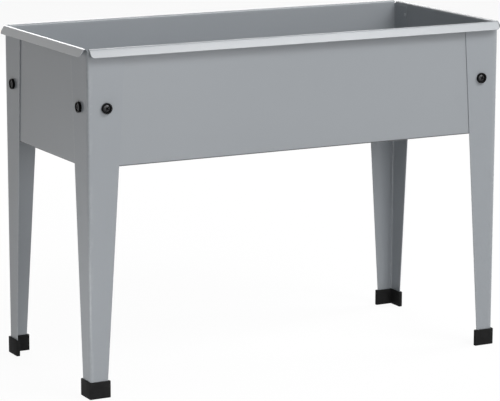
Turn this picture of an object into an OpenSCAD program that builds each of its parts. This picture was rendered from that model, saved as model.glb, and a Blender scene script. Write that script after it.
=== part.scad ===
// Raised planter: a folded sheet trough carried by four tapered angle legs.
// Origin: on the ground, midway between the legs. X runs along the trough, Y from front to back.

/* [Overall] */
// Length over the rim lips
length = 1100; // [800:10:1400]
// Width over the rim lips
width = 500; // [400:10:700]
// Height of the rim above the ground
height = 790; // [600:5:1000]

/* [Trough] */
// Height of the trough from its underside to the rim
trough_h = 266; // [200:1:340]
// Thickness of the panel and floor sheet
sheet = 1.2; // [0.8:0.1:1.6]
// Outer radius of the panels' lower folds and corner folds
fold_r = 3; // [2.4:0.1:4]
// Width of the ledge that each panel folds inwards under the floor
ledge_w = 24; // [16:1:36]
// Free sheet between a long panel's tab bolt and the tab's edge
tab_edge = 15; // [10:0.5:24]
// How far the tabs stay below the rim and above the underside
tab_relief = 9; // [7:0.5:14]

/* [Rim] */
// How far the rim lips reach out past the legs
rim_out = 16; // [12:0.5:22]
// Outer radius of the rolled rim edge
rim_r = 5; // [4:0.1:6]
// Gap between the ends of the long panels' lips and the inner faces of the end panels
rim_gap = 0.3; // [0.2:0.1:5]
// Gap between the ends of the end panels' lips and the inner faces of the long panels
end_rim_gap = 4.3; // [2:0.1:12]
// Radius of the lips' outer corners
rim_corner_r = 9; // [4:0.5:12]

/* [Floor] */
// Height of the floor's top above the ledges, and so the depth of its skirts
floor_h = 20; // [14:0.5:40]
// Width of a brace under the floor
brace_w = 40; // [24:1:60]
// Clearance between a brace's ends and the floor's skirts
brace_fit = 0.5; // [0.3:0.1:2]
// Number of drain holes along each row between two braces
bay_drains = 2; // [1:1:3]
// Diameter of a drain hole
drain_d = 8; // [5:0.5:12]
// Distance between the two rows of drain holes
drain_rows = 240; // [120:10:300]

/* [Clinches] */
// Diameter of a clinch button that joins a tab to its end panel
clinch_d = 8; // [5:0.5:10]
// Height of a clinch button
clinch_h = 1.4; // [0.8:0.1:2]
// Distance from a clinch button's centre to the tab's edge
clinch_edge = 6; // [5:0.5:9]
// Distance from the rim and from the underside to the clinch buttons
clinch_drop = 31; // [20:1:60]

/* [Legs] */
// Thickness of the leg sheet
leg_t = 2; // [1.5:0.1:2.5]
// Width of a leg's flanges at rim height
leg_top_w = 92; // [84:1:120]
// Width of a leg's flanges at the ground
leg_foot_w = 40; // [34:1:60]
// Outer radius of the fold along a leg's corner
leg_bend_r = 5; // [4:0.1:7]
// Gap between a leg's top and the rolled rim edge
leg_gap = 1; // [0.5:0.1:3]

/* [Feet] */
// Height of a foot cap
foot_h = 39; // [24:1:50]
// Wall of a foot cap on each side of the leg sheet
foot_wall = 3.6; // [1.6:0.1:5]
// Wall of a foot cap past the flanges' edges
foot_end = 5; // [2:0.1:7]
// Radius of a foot cap's outer corner
foot_corner_r = 3; // [1:0.5:6]
// Thickness of a foot cap under the leg
foot_base = 4; // [3:0.5:8]
// Clearance between a flange's edge and its foot cap
foot_fit = 0.2; // [0.1:0.1:0.5]

/* [Fasteners] */
// Distance from a leg's outer corner to its bolts
bolt_in = 45; // [38:1:50]
// Thread diameter of the bolts
bolt_d = 8; // [6:0.5:9]
// Length of a bolt under its head
bolt_l = 16; // [15:0.5:20]
// Diameter of a bolt head
head_d = 17.6; // [14:0.1:19]
// Height of a bolt head
head_h = 3.6; // [3.2:0.1:5]
// Height of the straight edge of a bolt head
head_edge = 0.8; // [0.4:0.1:1.2]
// Length of the cross recess in a bolt head
recess_l = 9.6; // [6:0.2:11]
// Width of the cross recess
recess_w = 2.2; // [1.4:0.1:2.8]
// Depth of the cross recess
recess_depth = 2.4; // [1.5:0.1:2.6]
// Diameter of a cup washer
washer_d = 24.6; // [22:0.1:26]
// Height of a cup washer
washer_h = 6; // [4:0.1:8]
// Thickness of a cup washer under the bolt head
washer_t = 2; // [1.2:0.1:2.5]
// Radius of the rounded edges of a cup washer's rim
washer_r = 0.8; // [0.3:0.1:1.2]
// Clearance on the diameter between a bolt head and its cup washer
head_fit = 1.2; // [0.6:0.1:1.6]
// Width of a nut across its flats
nut_s = 13; // [12:0.5:14]
// Height of a nut
nut_h = 8; // [6:0.5:9]
// Diameter of a nut's flange
nut_flange_d = 17.9; // [16:0.1:18]
// Thickness of a nut's flange
nut_flange_t = 2; // [1:0.1:2.5]
// Clearance on the diameter of every bolt hole
hole_fit = 0.6; // [0.4:0.1:1]
// Clearance on the diameter between a bolt and its nut
thread_fit = 0.2; // [0.1:0.05:0.4]

/* [Hidden] */
$fn = 64;
cut = 1;

// Outer faces of the legs, of the long panels and of the end panels
leg_x = length / 2 - rim_out;
leg_y = width / 2 - rim_out;
panel_x = leg_x - leg_t;
panel_y = leg_y - leg_t;

trough_z = height - trough_h;
bolt_z = height - trough_h / 2;
leg_top = height - rim_r - leg_gap;
tab_bottom = trough_z + tab_relief;
tab_top = height - tab_relief;

// Corner fold of a long panel, inside the end panel
tab_x = panel_x - sheet;
tab_w = bolt_in - leg_t + tab_edge;

// The floor is a tray turned over: its skirts stand on the ledges, clear of the lower folds
floor_fit = 0.2;
floor_z = trough_z + sheet;
floor_x = panel_x - fold_r - floor_fit;
floor_y = panel_y - fold_r - floor_fit;
floor_top = floor_z + floor_h;

// The braces part the floor into equal bays
bay_count = 4;
brace_pitch = 2 * floor_x / bay_count;
brace_top = floor_top - sheet;
drain_count = bay_count * bay_drains;
drain_pitch = 2 * floor_x / drain_count;

// Slope of the rim lips below level: that of a right triangle with whole sides, 336, 527 and 625,
// so that its sine and cosine are short decimals and the lip meets the roll without a step
rim_slope = atan2(527, 336);
// Rim: the roll's centre lies outside the panel, and the lip runs on from the roll
roll_in = rim_r - sheet;
lip_start = roll_in + rim_r * sin(rim_slope);
lip_l = (rim_out + leg_t - lip_start) / cos(rim_slope);
lip_corner = min(rim_corner_r, lip_l);

pocket_l = flange_w(foot_h) + foot_fit;
foot_t = leg_t + 2 * foot_wall;
foot_l = foot_wall + pocket_l + foot_end;
foot_in_r = 0.5;

STEEL = [0.60, 0.62, 0.64];
BLACK = [0.13, 0.13, 0.13];
ZINC = [0.72, 0.72, 0.74];

// Each corner: its name, and the side of the origin it lies on along X and Y
CORNERS = [
    ["front_left", -1, -1],
    ["front_right", 1, -1],
    ["back_left", -1, 1],
    ["back_right", 1, 1]
];
// Each brace: its name, and how many bays it lies from the middle
BRACES = [
    ["left_brace", -1],
    ["middle_brace", 0],
    ["right_brace", 1]
];
// The panel that a fastener holds: a long one or an end one
SIDES = ["long", "end"];
FASTENERS = ["bolt", "washer", "nut"];

// Width of a leg's flange at height z
function flange_w(z) = leg_foot_w + (leg_top_w - leg_foot_w) * z / height;

// How many sheets a bolt passes through, as a thickness: leg and panel, and at the ends the tab
function grip(side) = leg_t + (side == "long" ? 1 : 2) * sheet;

// Ring of outer radius r and wall t, kept between two directions that are under 180 degrees apart
module ring_2d(r, t, from, to) {
    reach = 4 * r;
    intersection() {
        difference() {
            circle(r);
            circle(r - t);
        }
        polygon([
            [0, 0],
            reach * [cos(from), sin(from)],
            reach * [cos((from + to) / 2), sin((from + to) / 2)],
            reach * [cos(to), sin(to)]
        ]);
    }
}

// What a rounded corner of radius r takes off a square one at the origin
module round_off_2d(r) {
    difference() {
        translate([-cut, -cut])
            square(r + cut);
        translate([r, r])
            circle(r);
    }
}

// Angle section with its outer corner at the origin
module angle_2d(arm, t, r_out, r_in) {
    difference() {
        union() {
            square([arm, t]);
            square([t, arm]);
            translate([t, t])
                difference() {
                    square(r_in);
                    translate([r_in, r_in])
                        circle(r_in);
                }
        }
        round_off_2d(r_out);
    }
}

// Section of the rolled edge and the lip: X points outwards from the panel's outer face, Y up
module rim_2d() {
    translate([roll_in, height - rim_r]) {
        ring_2d(rim_r, sheet, 90 - rim_slope, 180);
        rotate(-rim_slope)
            translate([0, roll_in])
                square([lip_l, sheet]);
    }
}

// Section of the lower fold and the ledge
module ledge_2d() {
    translate([-fold_r, trough_z + fold_r])
        ring_2d(fold_r, sheet, 270, 360);
    translate([-ledge_w, trough_z])
        square([ledge_w - fold_r, sheet]);
}

// Stretches a section along X, centred, with the section's X pointing to -Y
module along_panel(l) {
    translate([l / 2, 0, 0])
        rotate([90, 0, -90])
            linear_extrude(l)
                children();
}

// One panel whose outer face lies in the plane y = 0 and faces -Y.
// flat_l is the length of its flat wall, lip_half the distance from its middle to the lip's ends.
module panel(flat_l, lip_half) {
    translate([-flat_l / 2, 0, trough_z + fold_r])
        cube([flat_l, sheet, trough_h - fold_r - rim_r]);
    difference() {
        along_panel(2 * lip_half)
            rim_2d();
        for (m = [0, 1])
            mirror([m, 0, 0])
                lip_round_off(lip_half);
    }
    difference() {
        along_panel(flat_l)
            ledge_2d();
        for (m = [0, 1])
            mirror([m, 0, 0])
                ledge_mitre(flat_l / 2);
    }
}

// Rounds the outer corner of a lip, square to the lip's slope
module lip_round_off(lip_half) {
    translate([-lip_half, -roll_in, height - rim_r])
        rotate([rim_slope, 0, 0])
            translate([0, -lip_l, roll_in - cut])
                linear_extrude(sheet + 2 * cut)
                    round_off_2d(lip_corner);
}

// Cuts the end of a ledge at 45 degrees, so that two ledges meet in the trough's corner
module ledge_mitre(end) {
    translate([-end, 0, trough_z - cut])
        linear_extrude(sheet + 2 * cut)
            polygon([
                [-cut, fold_r],
                [fold_r, fold_r],
                [ledge_w + cut, ledge_w + cut],
                [-cut, ledge_w + cut]
            ]);
}

// Long panel: folded round at both ends into tabs that lie inside the end panels
module long_panel() {
    flat_l = 2 * (tab_x - fold_r);
    translate([0, -panel_y, 0])
        difference() {
            union() {
                panel(flat_l, tab_x - rim_gap);
                for (m = [0, 1])
                    mirror([m, 0, 0])
                        tab();
            }
            for (m = [0, 1])
                mirror([m, 0, 0])
                    translate([-(leg_x - bolt_in), 0, bolt_z])
                        rotate([-90, 0, 0])
                            bolt_hole();
        }
}

// Left tab of a long panel, with its corner fold, bolt hole and clinch buttons
module tab() {
    translate([-tab_x, 0, 0])
        difference() {
            union() {
                translate([0, 0, tab_bottom])
                    linear_extrude(tab_top - tab_bottom) {
                        translate([fold_r, fold_r])
                            ring_2d(fold_r, sheet, 180, 270);
                        translate([0, fold_r])
                            square([sheet, tab_w - fold_r]);
                    }
                for (z = [trough_z + clinch_drop, height - clinch_drop])
                    translate([sheet, tab_w - clinch_edge, z])
                        rotate([0, 90, 0])
                            clinch();
            }
            translate([0, bolt_in - leg_t, bolt_z])
                rotate([0, 90, 0])
                    bolt_hole();
        }
}

// Round button with a sloping edge
module clinch() {
    cylinder(d1 = clinch_d, d2 = clinch_d - clinch_h, h = clinch_h);
}

// Clearance hole along Z through the sheets near the origin
module bolt_hole() {
    translate([0, 0, -cut])
        cylinder(d = bolt_d + hole_fit, h = leg_t + sheet + 2 * cut);
}

module end_panel() {
    flat_l = 2 * (leg_y - leg_bend_r);
    rotate([0, 0, -90])
        translate([0, -panel_x, 0])
            difference() {
                panel(flat_l, panel_y - sheet - end_rim_gap);
                for (m = [0, 1])
                    mirror([m, 0, 0])
                        translate([-(leg_y - bolt_in), 0, bolt_z])
                            rotate([-90, 0, 0])
                                bolt_hole();
            }
}

module front_panel() {
    color(STEEL)
        long_panel();
}

module back_panel() {
    color(STEEL)
        mirror([0, 1, 0])
            long_panel();
}

module left_panel() {
    color(STEEL)
        end_panel();
}

module right_panel() {
    color(STEEL)
        mirror([1, 0, 0])
            end_panel();
}

// Floor tray with two rows of drain holes
module floor() {
    color(STEEL)
        difference() {
            union() {
                across_floor(2 * (floor_y - fold_r))
                    channel_2d(floor_x, floor_h);
                rotate([0, 0, 90])
                    across_floor(2 * (floor_x - fold_r))
                        channel_2d(floor_y, floor_h);
            }
            for (i = [0.5 : drain_count - 0.5], y = [-1, 1] * drain_rows / 2)
                translate([i * drain_pitch - floor_x, y, floor_top - sheet - cut])
                    cylinder(d = drain_d, h = sheet + 2 * cut);
        }
}

// Channel that spans the trough from ledge to ledge under the floor
module brace(b) {
    color(STEEL)
        translate([b[1] * brace_pitch, 0, 0])
            across_floor(2 * (floor_y - sheet - brace_fit))
                channel_2d(brace_w / 2, brace_top - floor_z);
}

// Stretches a section along Y, centred, and stands it on the ledges
module across_floor(l) {
    translate([0, l / 2, floor_z])
        rotate([90, 0, 0])
            linear_extrude(l)
                children();
}

// Channel section open at the bottom: half its width, and its height
module channel_2d(half, h) {
    translate([-(half - fold_r), h - sheet])
        square([2 * (half - fold_r), sheet]);
    for (m = [0, 1])
        mirror([m, 0]) {
            translate([half - fold_r, h - fold_r])
                ring_2d(fold_r, sheet, 0, 90);
            translate([half - sheet, 0])
                square([sheet, h - fold_r]);
        }
}

// Puts what is drawn at the front left corner at corner c, with the leg's outer corner as its origin
module at_corner(c) {
    mirror([c[1] > 0 ? 1 : 0, 0, 0])
        mirror([0, c[2] > 0 ? 1 : 0, 0])
            translate([-leg_x, -leg_y, 0])
                children();
}

// Turns Z inwards at a corner's bolt, with the leg's outer face as its zero
module at_bolt(c, side) {
    at_corner(c)
        if (side == "long")
            translate([bolt_in, 0, bolt_z])
                rotate([-90, 0, 0])
                    children();
        else
            translate([0, bolt_in, bolt_z])
                rotate([0, 90, 0])
                    children();
}

// What the taper takes off the flange that runs along X
module taper_cut() {
    reach = leg_top_w + cut;
    translate([0, leg_bend_r, 0])
        rotate([90, 0, 0])
            linear_extrude(leg_bend_r + cut)
                polygon([
                    [flange_w(-cut), -cut],
                    [reach, -cut],
                    [reach, height],
                    [flange_w(height), height]
                ]);
}

module leg(c) {
    color(STEEL)
        at_corner(c)
            difference() {
                translate([0, 0, foot_base])
                    linear_extrude(leg_top - foot_base)
                        angle_2d(leg_top_w, leg_t, leg_bend_r, leg_bend_r - leg_t);
                taper_cut();
                mirror([1, -1, 0])
                    taper_cut();
                translate([bolt_in, 0, bolt_z])
                    rotate([-90, 0, 0])
                        bolt_hole();
                translate([0, bolt_in, bolt_z])
                    rotate([0, 90, 0])
                        bolt_hole();
            }
}

// Cap with an angle-shaped pocket that the leg stands in
module foot(c) {
    color(BLACK)
        at_corner(c)
            difference() {
                translate([-foot_wall, -foot_wall, 0])
                    linear_extrude(foot_h)
                        angle_2d(foot_l, foot_t, foot_corner_r, foot_in_r);
                translate([0, 0, foot_base])
                    linear_extrude(foot_h)
                        angle_2d(pocket_l, leg_t, leg_bend_r, leg_bend_r - leg_t);
            }
}

// Domed bolt head with a cross recess, and its shank
module bolt(c, side) {
    cap_h = head_h - head_edge;
    cap_r = (pow(head_d / 2, 2) + pow(cap_h, 2)) / (2 * cap_h);
    color(BLACK)
        at_bolt(c, side)
            translate([0, 0, -washer_t]) {
                cylinder(d = bolt_d, h = bolt_l);
                difference() {
                    intersection() {
                        translate([0, 0, cap_r - head_h])
                            sphere(cap_r);
                        translate([0, 0, -head_h])
                            cylinder(d = head_d, h = head_h);
                    }
                    for (turn = [0, 90])
                        rotate([0, 0, turn])
                            translate([-recess_l / 2, -recess_w / 2, -head_h - cut])
                                cube([recess_l, recess_w, recess_depth + cut]);
                }
            }
}

// Cup washer whose rim stands round the bolt head
module washer(c, side) {
    cup_r = (head_d + head_fit) / 2;
    hole_r = (bolt_d + hole_fit) / 2;
    color(BLACK)
        at_bolt(c, side)
            translate([0, 0, -washer_h])
                rotate_extrude()
                    difference() {
                        translate([hole_r, 0])
                            square([washer_d / 2 - hole_r, washer_h]);
                        translate([0, -cut])
                            square([cup_r, washer_h - washer_t + cut]);
                        translate([cup_r, 0])
                            round_off_2d(washer_r);
                        translate([washer_d / 2, 0])
                            mirror([1, 0])
                                round_off_2d(washer_r);
                    }
}

// Hexagon nut with a flange, tightened against the innermost sheet
module nut(c, side) {
    color(ZINC)
        at_bolt(c, side)
            translate([0, 0, grip(side)])
                difference() {
                    union() {
                        cylinder(d = nut_flange_d, h = nut_flange_t);
                        cylinder(d = nut_s / cos(30), h = nut_h, $fn = 6);
                    }
                    translate([0, 0, -cut])
                        cylinder(d = bolt_d + thread_fit, h = nut_h + 2 * cut);
                }
}

front_panel();
back_panel();
left_panel();
right_panel();
floor();
for (b = BRACES)
    brace(b);
for (c = CORNERS) {
    leg(c);
    foot(c);
    for (s = SIDES) {
        bolt(c, s);
        washer(c, s);
        nut(c, s);
    }
}
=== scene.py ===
"""Raised planter: a folded sheet trough with turned-out lips, on four tapered angle legs.

The trough is four folded panels, a floor tray and three braces under it. Each leg stands in a moulded
cap, and two black bolts with washers and nuts hold each corner. Lengths in the functions below are
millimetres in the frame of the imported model; they become metres where a mesh is written.
"""

import math

import bmesh
import bpy
import numpy as np
from mathutils import Matrix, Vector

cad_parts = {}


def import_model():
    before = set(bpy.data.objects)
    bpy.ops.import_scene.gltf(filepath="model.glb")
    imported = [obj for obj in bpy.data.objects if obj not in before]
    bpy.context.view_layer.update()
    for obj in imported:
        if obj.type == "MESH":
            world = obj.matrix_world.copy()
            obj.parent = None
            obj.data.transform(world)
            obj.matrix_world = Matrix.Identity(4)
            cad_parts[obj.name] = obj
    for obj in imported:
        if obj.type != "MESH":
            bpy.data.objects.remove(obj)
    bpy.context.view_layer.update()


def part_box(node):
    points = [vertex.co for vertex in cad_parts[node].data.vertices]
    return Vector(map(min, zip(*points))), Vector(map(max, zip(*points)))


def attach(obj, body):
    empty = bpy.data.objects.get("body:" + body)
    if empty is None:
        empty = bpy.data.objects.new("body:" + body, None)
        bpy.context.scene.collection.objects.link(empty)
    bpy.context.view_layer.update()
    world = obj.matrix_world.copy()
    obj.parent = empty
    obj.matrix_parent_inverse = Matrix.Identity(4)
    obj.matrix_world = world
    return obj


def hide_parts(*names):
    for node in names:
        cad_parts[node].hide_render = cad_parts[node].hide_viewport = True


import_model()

MM = 0.001


def cad_box_mm(node):
    """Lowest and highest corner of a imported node, in millimetres."""
    low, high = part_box(node)
    return np.array(low) / MM, np.array(high) / MM


# Sheets and folds of the trough
SHEET = 1.2
FOLD_R = 3.0
LEDGE_W = 24.0
ROLL_R = 5.0
LIP_SLOPE = math.atan2(527, 336)
LIP_CORNER = 9.0
LONG_LIP_GAP = 0.3
END_LIP_GAP = 4.3
TAB_RELIEF = 9.0
CLINCH_DROP = 31.0
CLINCH_EDGE = 6.0
CLINCH_R = 4.0
CLINCH_RISE = 1.4
CLINCH_SINK = 0.3
# A clinch's falling edge and its dimple's radius as shares of its radius, and the dimple's depth of its rise
CLINCH_FADE = 0.3
DIMPLE_R = 0.6
DIMPLE_DEPTH = 0.7
# How far from its ends a lip's columns draw in to its rounded corners, and a ledge's to its mitres
LIP_STRETCH = 24.0
MITRE_STRETCH = 30.0
# Width of the rubbed bands on the rolled edge and on the lip's free edge
CREST_BAND = 2.0
# Inward bow of a long panel and of an end panel
LONG_BOW = 0.9
END_BOW = 0.5
# The bow's ripple: its share, its turns along and up a half panel, and its turn from panel to panel
RIPPLE = 0.25
RIPPLE_ALONG = 3.1
RIPPLE_UP = 1.7
RIPPLE_TURN = 1.3
# Share of the coat's colour taken by painted shade on the lower folds and ledges, and how far it fades in
UNDER_PAINTED_SHADE = 0.75
PAINTED_SHADE_FADE = 0.8

# Floor
DRAIN_COUNT = 8
DRAIN_ROWS = 240.0
DRAIN_R = 4.0
DRAIN_DISH = 0.8
DISH_R = 11.0

# Legs and their caps
LEG_SHEET = 2.0
LEG_BEND = 5.0
LEG_FOOT_W = 40.0
LEG_TOP_W = 92.0
CAP_WALL = 3.6
CAP_BASE = 4.0
CAP_END = 5.0
CAP_FIT = 0.2
# Radii of a cap: outer corner, arms' ends, inner corner, pocket's ends, lower edge and upper edge
CAP_CORNER = 3.0
CAP_ARM_R = 1.8
CAP_INNER_R = 0.5
POCKET_R = 0.2
CAP_FOOT_R = 1.2
CAP_RIM_R = 1.0
# Least radius that a corner keeps where the outline is drawn in
LEAST_R = 0.05
# Chamfer of the pocket's mouth, and the rubbed band below a cap's top
MOUTH_BREAK = 0.35
CAP_RUB_BAND = 1.5
# Share of a flange's width that is rubbed along its free edge
EDGE_SHARE = 0.015

# Fasteners
BOLT_IN = 45.0
BOLT_R = 4.0
BOLT_L = 16.0
HOLE_R = 4.3
HEAD_R = 8.8
HEAD_H = 3.6
HEAD_EDGE = 0.8
HEAD_ROUND = 0.4
HEAD_BREAK = 0.25
TIP_BREAK = 0.8
# Where the dome ends short of the head's edge, and the radius inside which its rings lie close
DOME_INSET = 0.35
RECESS_R = 5.8
# Cross recess: depth, half width and reach of its arms, radius of its core, and how dark its hollow is
# painted as shade
CROSS_DEPTH = 2.3
ARM_HALF_W = 0.95
ARM_REACH = 3.9
CORE_R = 1.7
RECESS_PAINTED_SHADE = 0.95
# Width of the slope at an arm's sides, at its end, and round the core
SIDE_FADE = 0.4
REACH_FADE = 1.2
CORE_FADE = 0.8
WASHER_R = 12.3
WASHER_H = 6.0
WASHER_T = 2.0
WASHER_BREAK = 0.3
WASHER_ROUND = 0.8
CUP_R = 9.4
CUP_ROUND = 0.5
# How far past the middle of a washer's rim its rubbed band runs
CREST_PAST = 0.3
NUT_HALF_FLATS = 6.5
NUT_FLANGE_R = 8.95
BORE_FIT = 0.1
BORE_BREAK = 0.4
BORE_END = 7.7
NUT_H = 8.0
NUT_SIDES = 96
# A nut's flange: its chamfer, the height of its straight edge and the (inset, height) of its shoulder
NUT_BREAK = 0.3
NUT_EDGE_H = 1.1
NUT_SHOULDER = (0.5, 1.5)
# A nut's hexagon: the (spread, height) of its foot, where it stands clear, and where its chamfer starts
NUT_HEX_FOOT = (0.25, 2.0)
NUT_HEX_LOW = 2.4
NUT_HEX_HIGH = 6.4
# (radius, height) rows of the cone that cuts the hexagon's outer end
NUT_CONE = ((7.1, 7.2), (6.55, 7.75), (6.1, NUT_H))
# Rows of a nut's profile that are rubbed: its flange's lower edge, and the hexagon with its chamfer's start
NUT_WORN_ROWS = (5, 8, 9, 10)
# Sides of a turned piece
ROUND_SIDES = 72
# Seed of the turns at which bolts and nuts were stopped
TURN_SEED = 7

# Half the side of the square of grid lines that makes room for a bolt hole or a drain hole
BLOCK = 14.0
# Quads between a hole's centre and the edge of its block
BLOCK_QUADS = 4
# Rings of points round a hole: 0 lies on its circle, and 1 on the edge of its block
RING_STEPS = (0.0, 0.12, 0.45, 1.0)
# Slack for picking grid lines that lie on a limit, and the distance under which path points are the same
SLACK = 1e-3
SAME_POINT = 1e-6
# Distance in metres under which the points of a piece are joined
JOIN_DISTANCE = 1e-7
# Points across a fold, the rolled edge, a lip's rounded corner, a leg's bend and a cap's corner and edge
FOLD_POINTS = 9
ROLL_POINTS = 15
LIP_CORNER_POINTS = 9
BEND_POINTS = 11
CAP_CORNER_POINTS = 7
CAP_EDGE_POINTS = 5
# Spacing of the grid lines on panels, tabs, legs and floor
PANEL_PITCH = 30.0
WALL_PITCH = 14.0
TAB_PITCH = 8.0
LEG_PITCH = 24.0
FLOOR_PITCH = 24.0
# Chamfer of the cut edges of thin and of thick sheet
SHEET_BREAK = 0.22
LEG_BREAK = 0.4
# An edge sharper than this many degrees is a cut edge, and one sharper than these is shaded as an edge
CUT_EDGE = 50.0
SHARP = 40.0
BOLT_SHARP = 50.0
NUT_SHARP = 25.0
# Rub values: how far wear can take the coat at a fold or an edge
LIP_RUB = 2 / 3
TAB_RUB = 0.5
CLINCH_RUB = 0.6
# A leg's bend: wear, and also a painted highlight as a lighter line up the corner
CORNER_WEAR_AND_HIGHLIGHT = 0.7
CAP_RUB = 0.6

# Outer faces and heights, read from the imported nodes
leg_low, leg_high = cad_box_mm("front_left_leg")
panel_low, panel_high = cad_box_mm("front_panel")
nut_low, nut_high = cad_box_mm("front_left_long_nut")

LEG_X, LEG_Y = -leg_low[0], -leg_low[1]
LEG_FOOT_Z, LEG_TOP_Z = leg_low[2], leg_high[2]
PANEL_X, PANEL_Y = LEG_X - LEG_SHEET, LEG_Y - LEG_SHEET
TAB_X = PANEL_X - SHEET
RIM_Z, UNDERSIDE_Z = panel_high[2], panel_low[2]
TAB_REACH = panel_high[1] + PANEL_Y
LIP_REACH = -panel_low[1] - PANEL_Y
BOLT_Z = (nut_low[2] + nut_high[2]) / 2
CAP_H = cad_box_mm("front_left_foot")[1][2]
CORNERS = {"front_left": (-1, -1), "front_right": (1, -1), "back_left": (-1, 1), "back_right": (1, 1)}


# ---------------------------------------------------------------- lines, arcs and grids


def arc(centre, radius, start, end, count):
    """Points on a circle: centre + radius (cos a, sin a), with a running evenly from start to end degrees."""
    a = np.radians(np.linspace(start, end, count))
    return np.stack([centre[0] + radius * np.cos(a), centre[1] + radius * np.sin(a)], axis=1)


def run(*parts):
    """One path through the given stretches, leaving out a point that repeats the one before it."""
    points = np.concatenate([np.asarray(p, float).reshape(-1, 2) for p in parts])
    step = np.linalg.norm(np.diff(points, axis=0), axis=1)
    return points[np.append(True, step > SAME_POINT)]


def lines(stops, pitch, centres=()):
    """Grid lines through every stop, each stretch parted evenly at about pitch.

    A hole's centre adds even lines across its block, so that a ring of quads fits round the hole.
    """
    blocks = [c + BLOCK * np.linspace(-1, 1, 2 * BLOCK_QUADS + 1) for c in centres]
    stops = np.unique(np.round(np.concatenate([stops, *blocks]), 6))
    parts = [
        np.linspace(a, b, max(1, round((b - a) / pitch)), endpoint=False)
        for a, b in zip(stops[:-1], stops[1:])
    ]
    return np.append(np.concatenate(parts), stops[-1])


def quads(rows, cols, close_rows=False, close_cols=False):
    """Faces of a grid numbered row by row; a closed direction joins its last line to its first."""
    i = np.arange(rows if close_rows else rows - 1)
    j = np.arange(cols if close_cols else cols - 1)
    i, j = np.meshgrid(i, j, indexing="ij")
    up, over = (i + 1) % rows, (j + 1) % cols
    return np.stack([i * cols + j, i * cols + over, up * cols + over, up * cols + j], -1).reshape(-1, 4)


def plane_with_holes(flat, holes):
    """A grid of plane points with round holes, as points and faces.

    flat is (rows, cols, 2). Each hole is (centre, radius, middle row, middle col): the block of quads
    round that grid point is left out, and rings of quads fill from the block's edge to the circle:
    ring = (1 - t) circle + t edge, each circle point lying in its edge point's direction.
    """
    rows, cols = flat.shape[:2]
    faces = quads(rows, cols).reshape(rows - 1, cols - 1, 4)
    kept = np.ones((rows - 1, cols - 1), bool)
    points = [flat.reshape(-1, 2)]
    rings = []
    count = rows * cols
    n = BLOCK_QUADS
    t = np.array(RING_STEPS)[:, None, None]
    for centre, radius, r, c in holes:
        kept[r - n : r + n, c - n : c + n] = False
        block = flat[r - n : r + n + 1, c - n : c + n + 1]
        edge = np.concatenate([block[0, :-1], block[:-1, -1], block[-1, :0:-1], block[:0:-1, 0]])
        way = edge - centre
        circle = centre + radius * way / np.linalg.norm(way, axis=1, keepdims=True)
        ring = (1 - t) * circle + t * edge
        rings.append(quads(len(t), len(edge), close_cols=True) + count)
        points.append(ring.reshape(-1, 2))
        count += len(t) * len(edge)
    return np.concatenate(points), np.concatenate([faces[kept], *rings])


def smooth(x):
    """Runs from 0 to 1 with level ends: 3 x squared less 2 x cubed, with x held to 0..1."""
    x = np.clip(x, 0, 1)
    return x * x * (3 - 2 * x)


def fade(x, start, over):
    """Runs from 1 at start to 0 past it: 1 - smooth((x - start) / over)."""
    return 1 - smooth((x - start) / over)


def middle(values, centre):
    """The number of the grid line at centre."""
    return int(np.argmin(np.abs(values - centre)))


# ---------------------------------------------------------------- meshes


class Shape:
    """Points, faces and a value of wear and painted light for each point, gathered from several surfaces."""

    def __init__(self):
        self.points, self.faces, self.rub, self.count = [], [], [], 0

    def add(self, points, faces, rub=0.0):
        """Takes in a surface: points (..., 3) in millimetres, its faces, and each point's value of wear and
        painted light.
        """
        flat = np.asarray(points, float).reshape(-1, 3)
        self.points.append(flat)
        self.faces.append(np.asarray(faces) + self.count)
        self.rub.append(np.broadcast_to(np.asarray(rub, float).reshape(-1), len(flat)))
        self.count += len(flat)

    def grid(self, points, rub=0.0, close_rows=False, close_cols=False):
        """Takes in a grid of points (rows, cols, 3)."""
        rows, cols = points.shape[:2]
        self.add(points, quads(rows, cols, close_rows, close_cols), rub)


def build(name, shape, finish, nodes, sharp=SHARP):
    """Writes a shape into a mesh, joins the points that coincide, and puts the piece on the frame."""
    mesh = bpy.data.meshes.new(name)
    points = np.concatenate(shape.points) * MM
    mesh.from_pydata(points.tolist(), [], np.concatenate(shape.faces).tolist())
    mesh.attributes.new("rub", "FLOAT", "POINT").data.foreach_set("value", np.concatenate(shape.rub))
    made = bmesh.new()
    made.from_mesh(mesh)
    bmesh.ops.remove_doubles(made, verts=made.verts, dist=JOIN_DISTANCE)
    bmesh.ops.recalc_face_normals(made, faces=made.faces)
    made.to_mesh(mesh)
    made.free()
    mesh.polygons.foreach_set("use_smooth", np.ones(len(mesh.polygons), bool))
    mesh.set_sharp_from_angle(angle=math.radians(sharp))
    mesh.materials.append(finish)
    piece = bpy.data.objects.new(name, mesh)
    bpy.context.scene.collection.objects.link(piece)
    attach(piece, "root")
    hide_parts(*nodes)
    return piece


def thicken(piece, thickness, edge):
    """Gives a middle surface its sheet thickness, half to each side, and breaks its cut edges."""
    wall = piece.modifiers.new("sheet", "SOLIDIFY")
    wall.thickness = thickness * MM
    wall.offset = 0.0
    wall.use_even_offset = True
    wall.use_quality_normals = True
    broken = piece.modifiers.new("broken edges", "BEVEL")
    broken.width = edge * MM
    broken.segments = 2
    broken.limit_method = "ANGLE"
    broken.angle_limit = math.radians(CUT_EDGE)
    broken.harden_normals = True


# ---------------------------------------------------------------- trough


def lip_length():
    """Flat length of a lip, from how far it reaches out past the panel.

    Reach = roll centre + radius sin(slope) + length cos(slope).
    """
    start = ROLL_R - SHEET + ROLL_R * math.sin(LIP_SLOPE)
    return (LIP_REACH - start) / math.cos(LIP_SLOPE)


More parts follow.
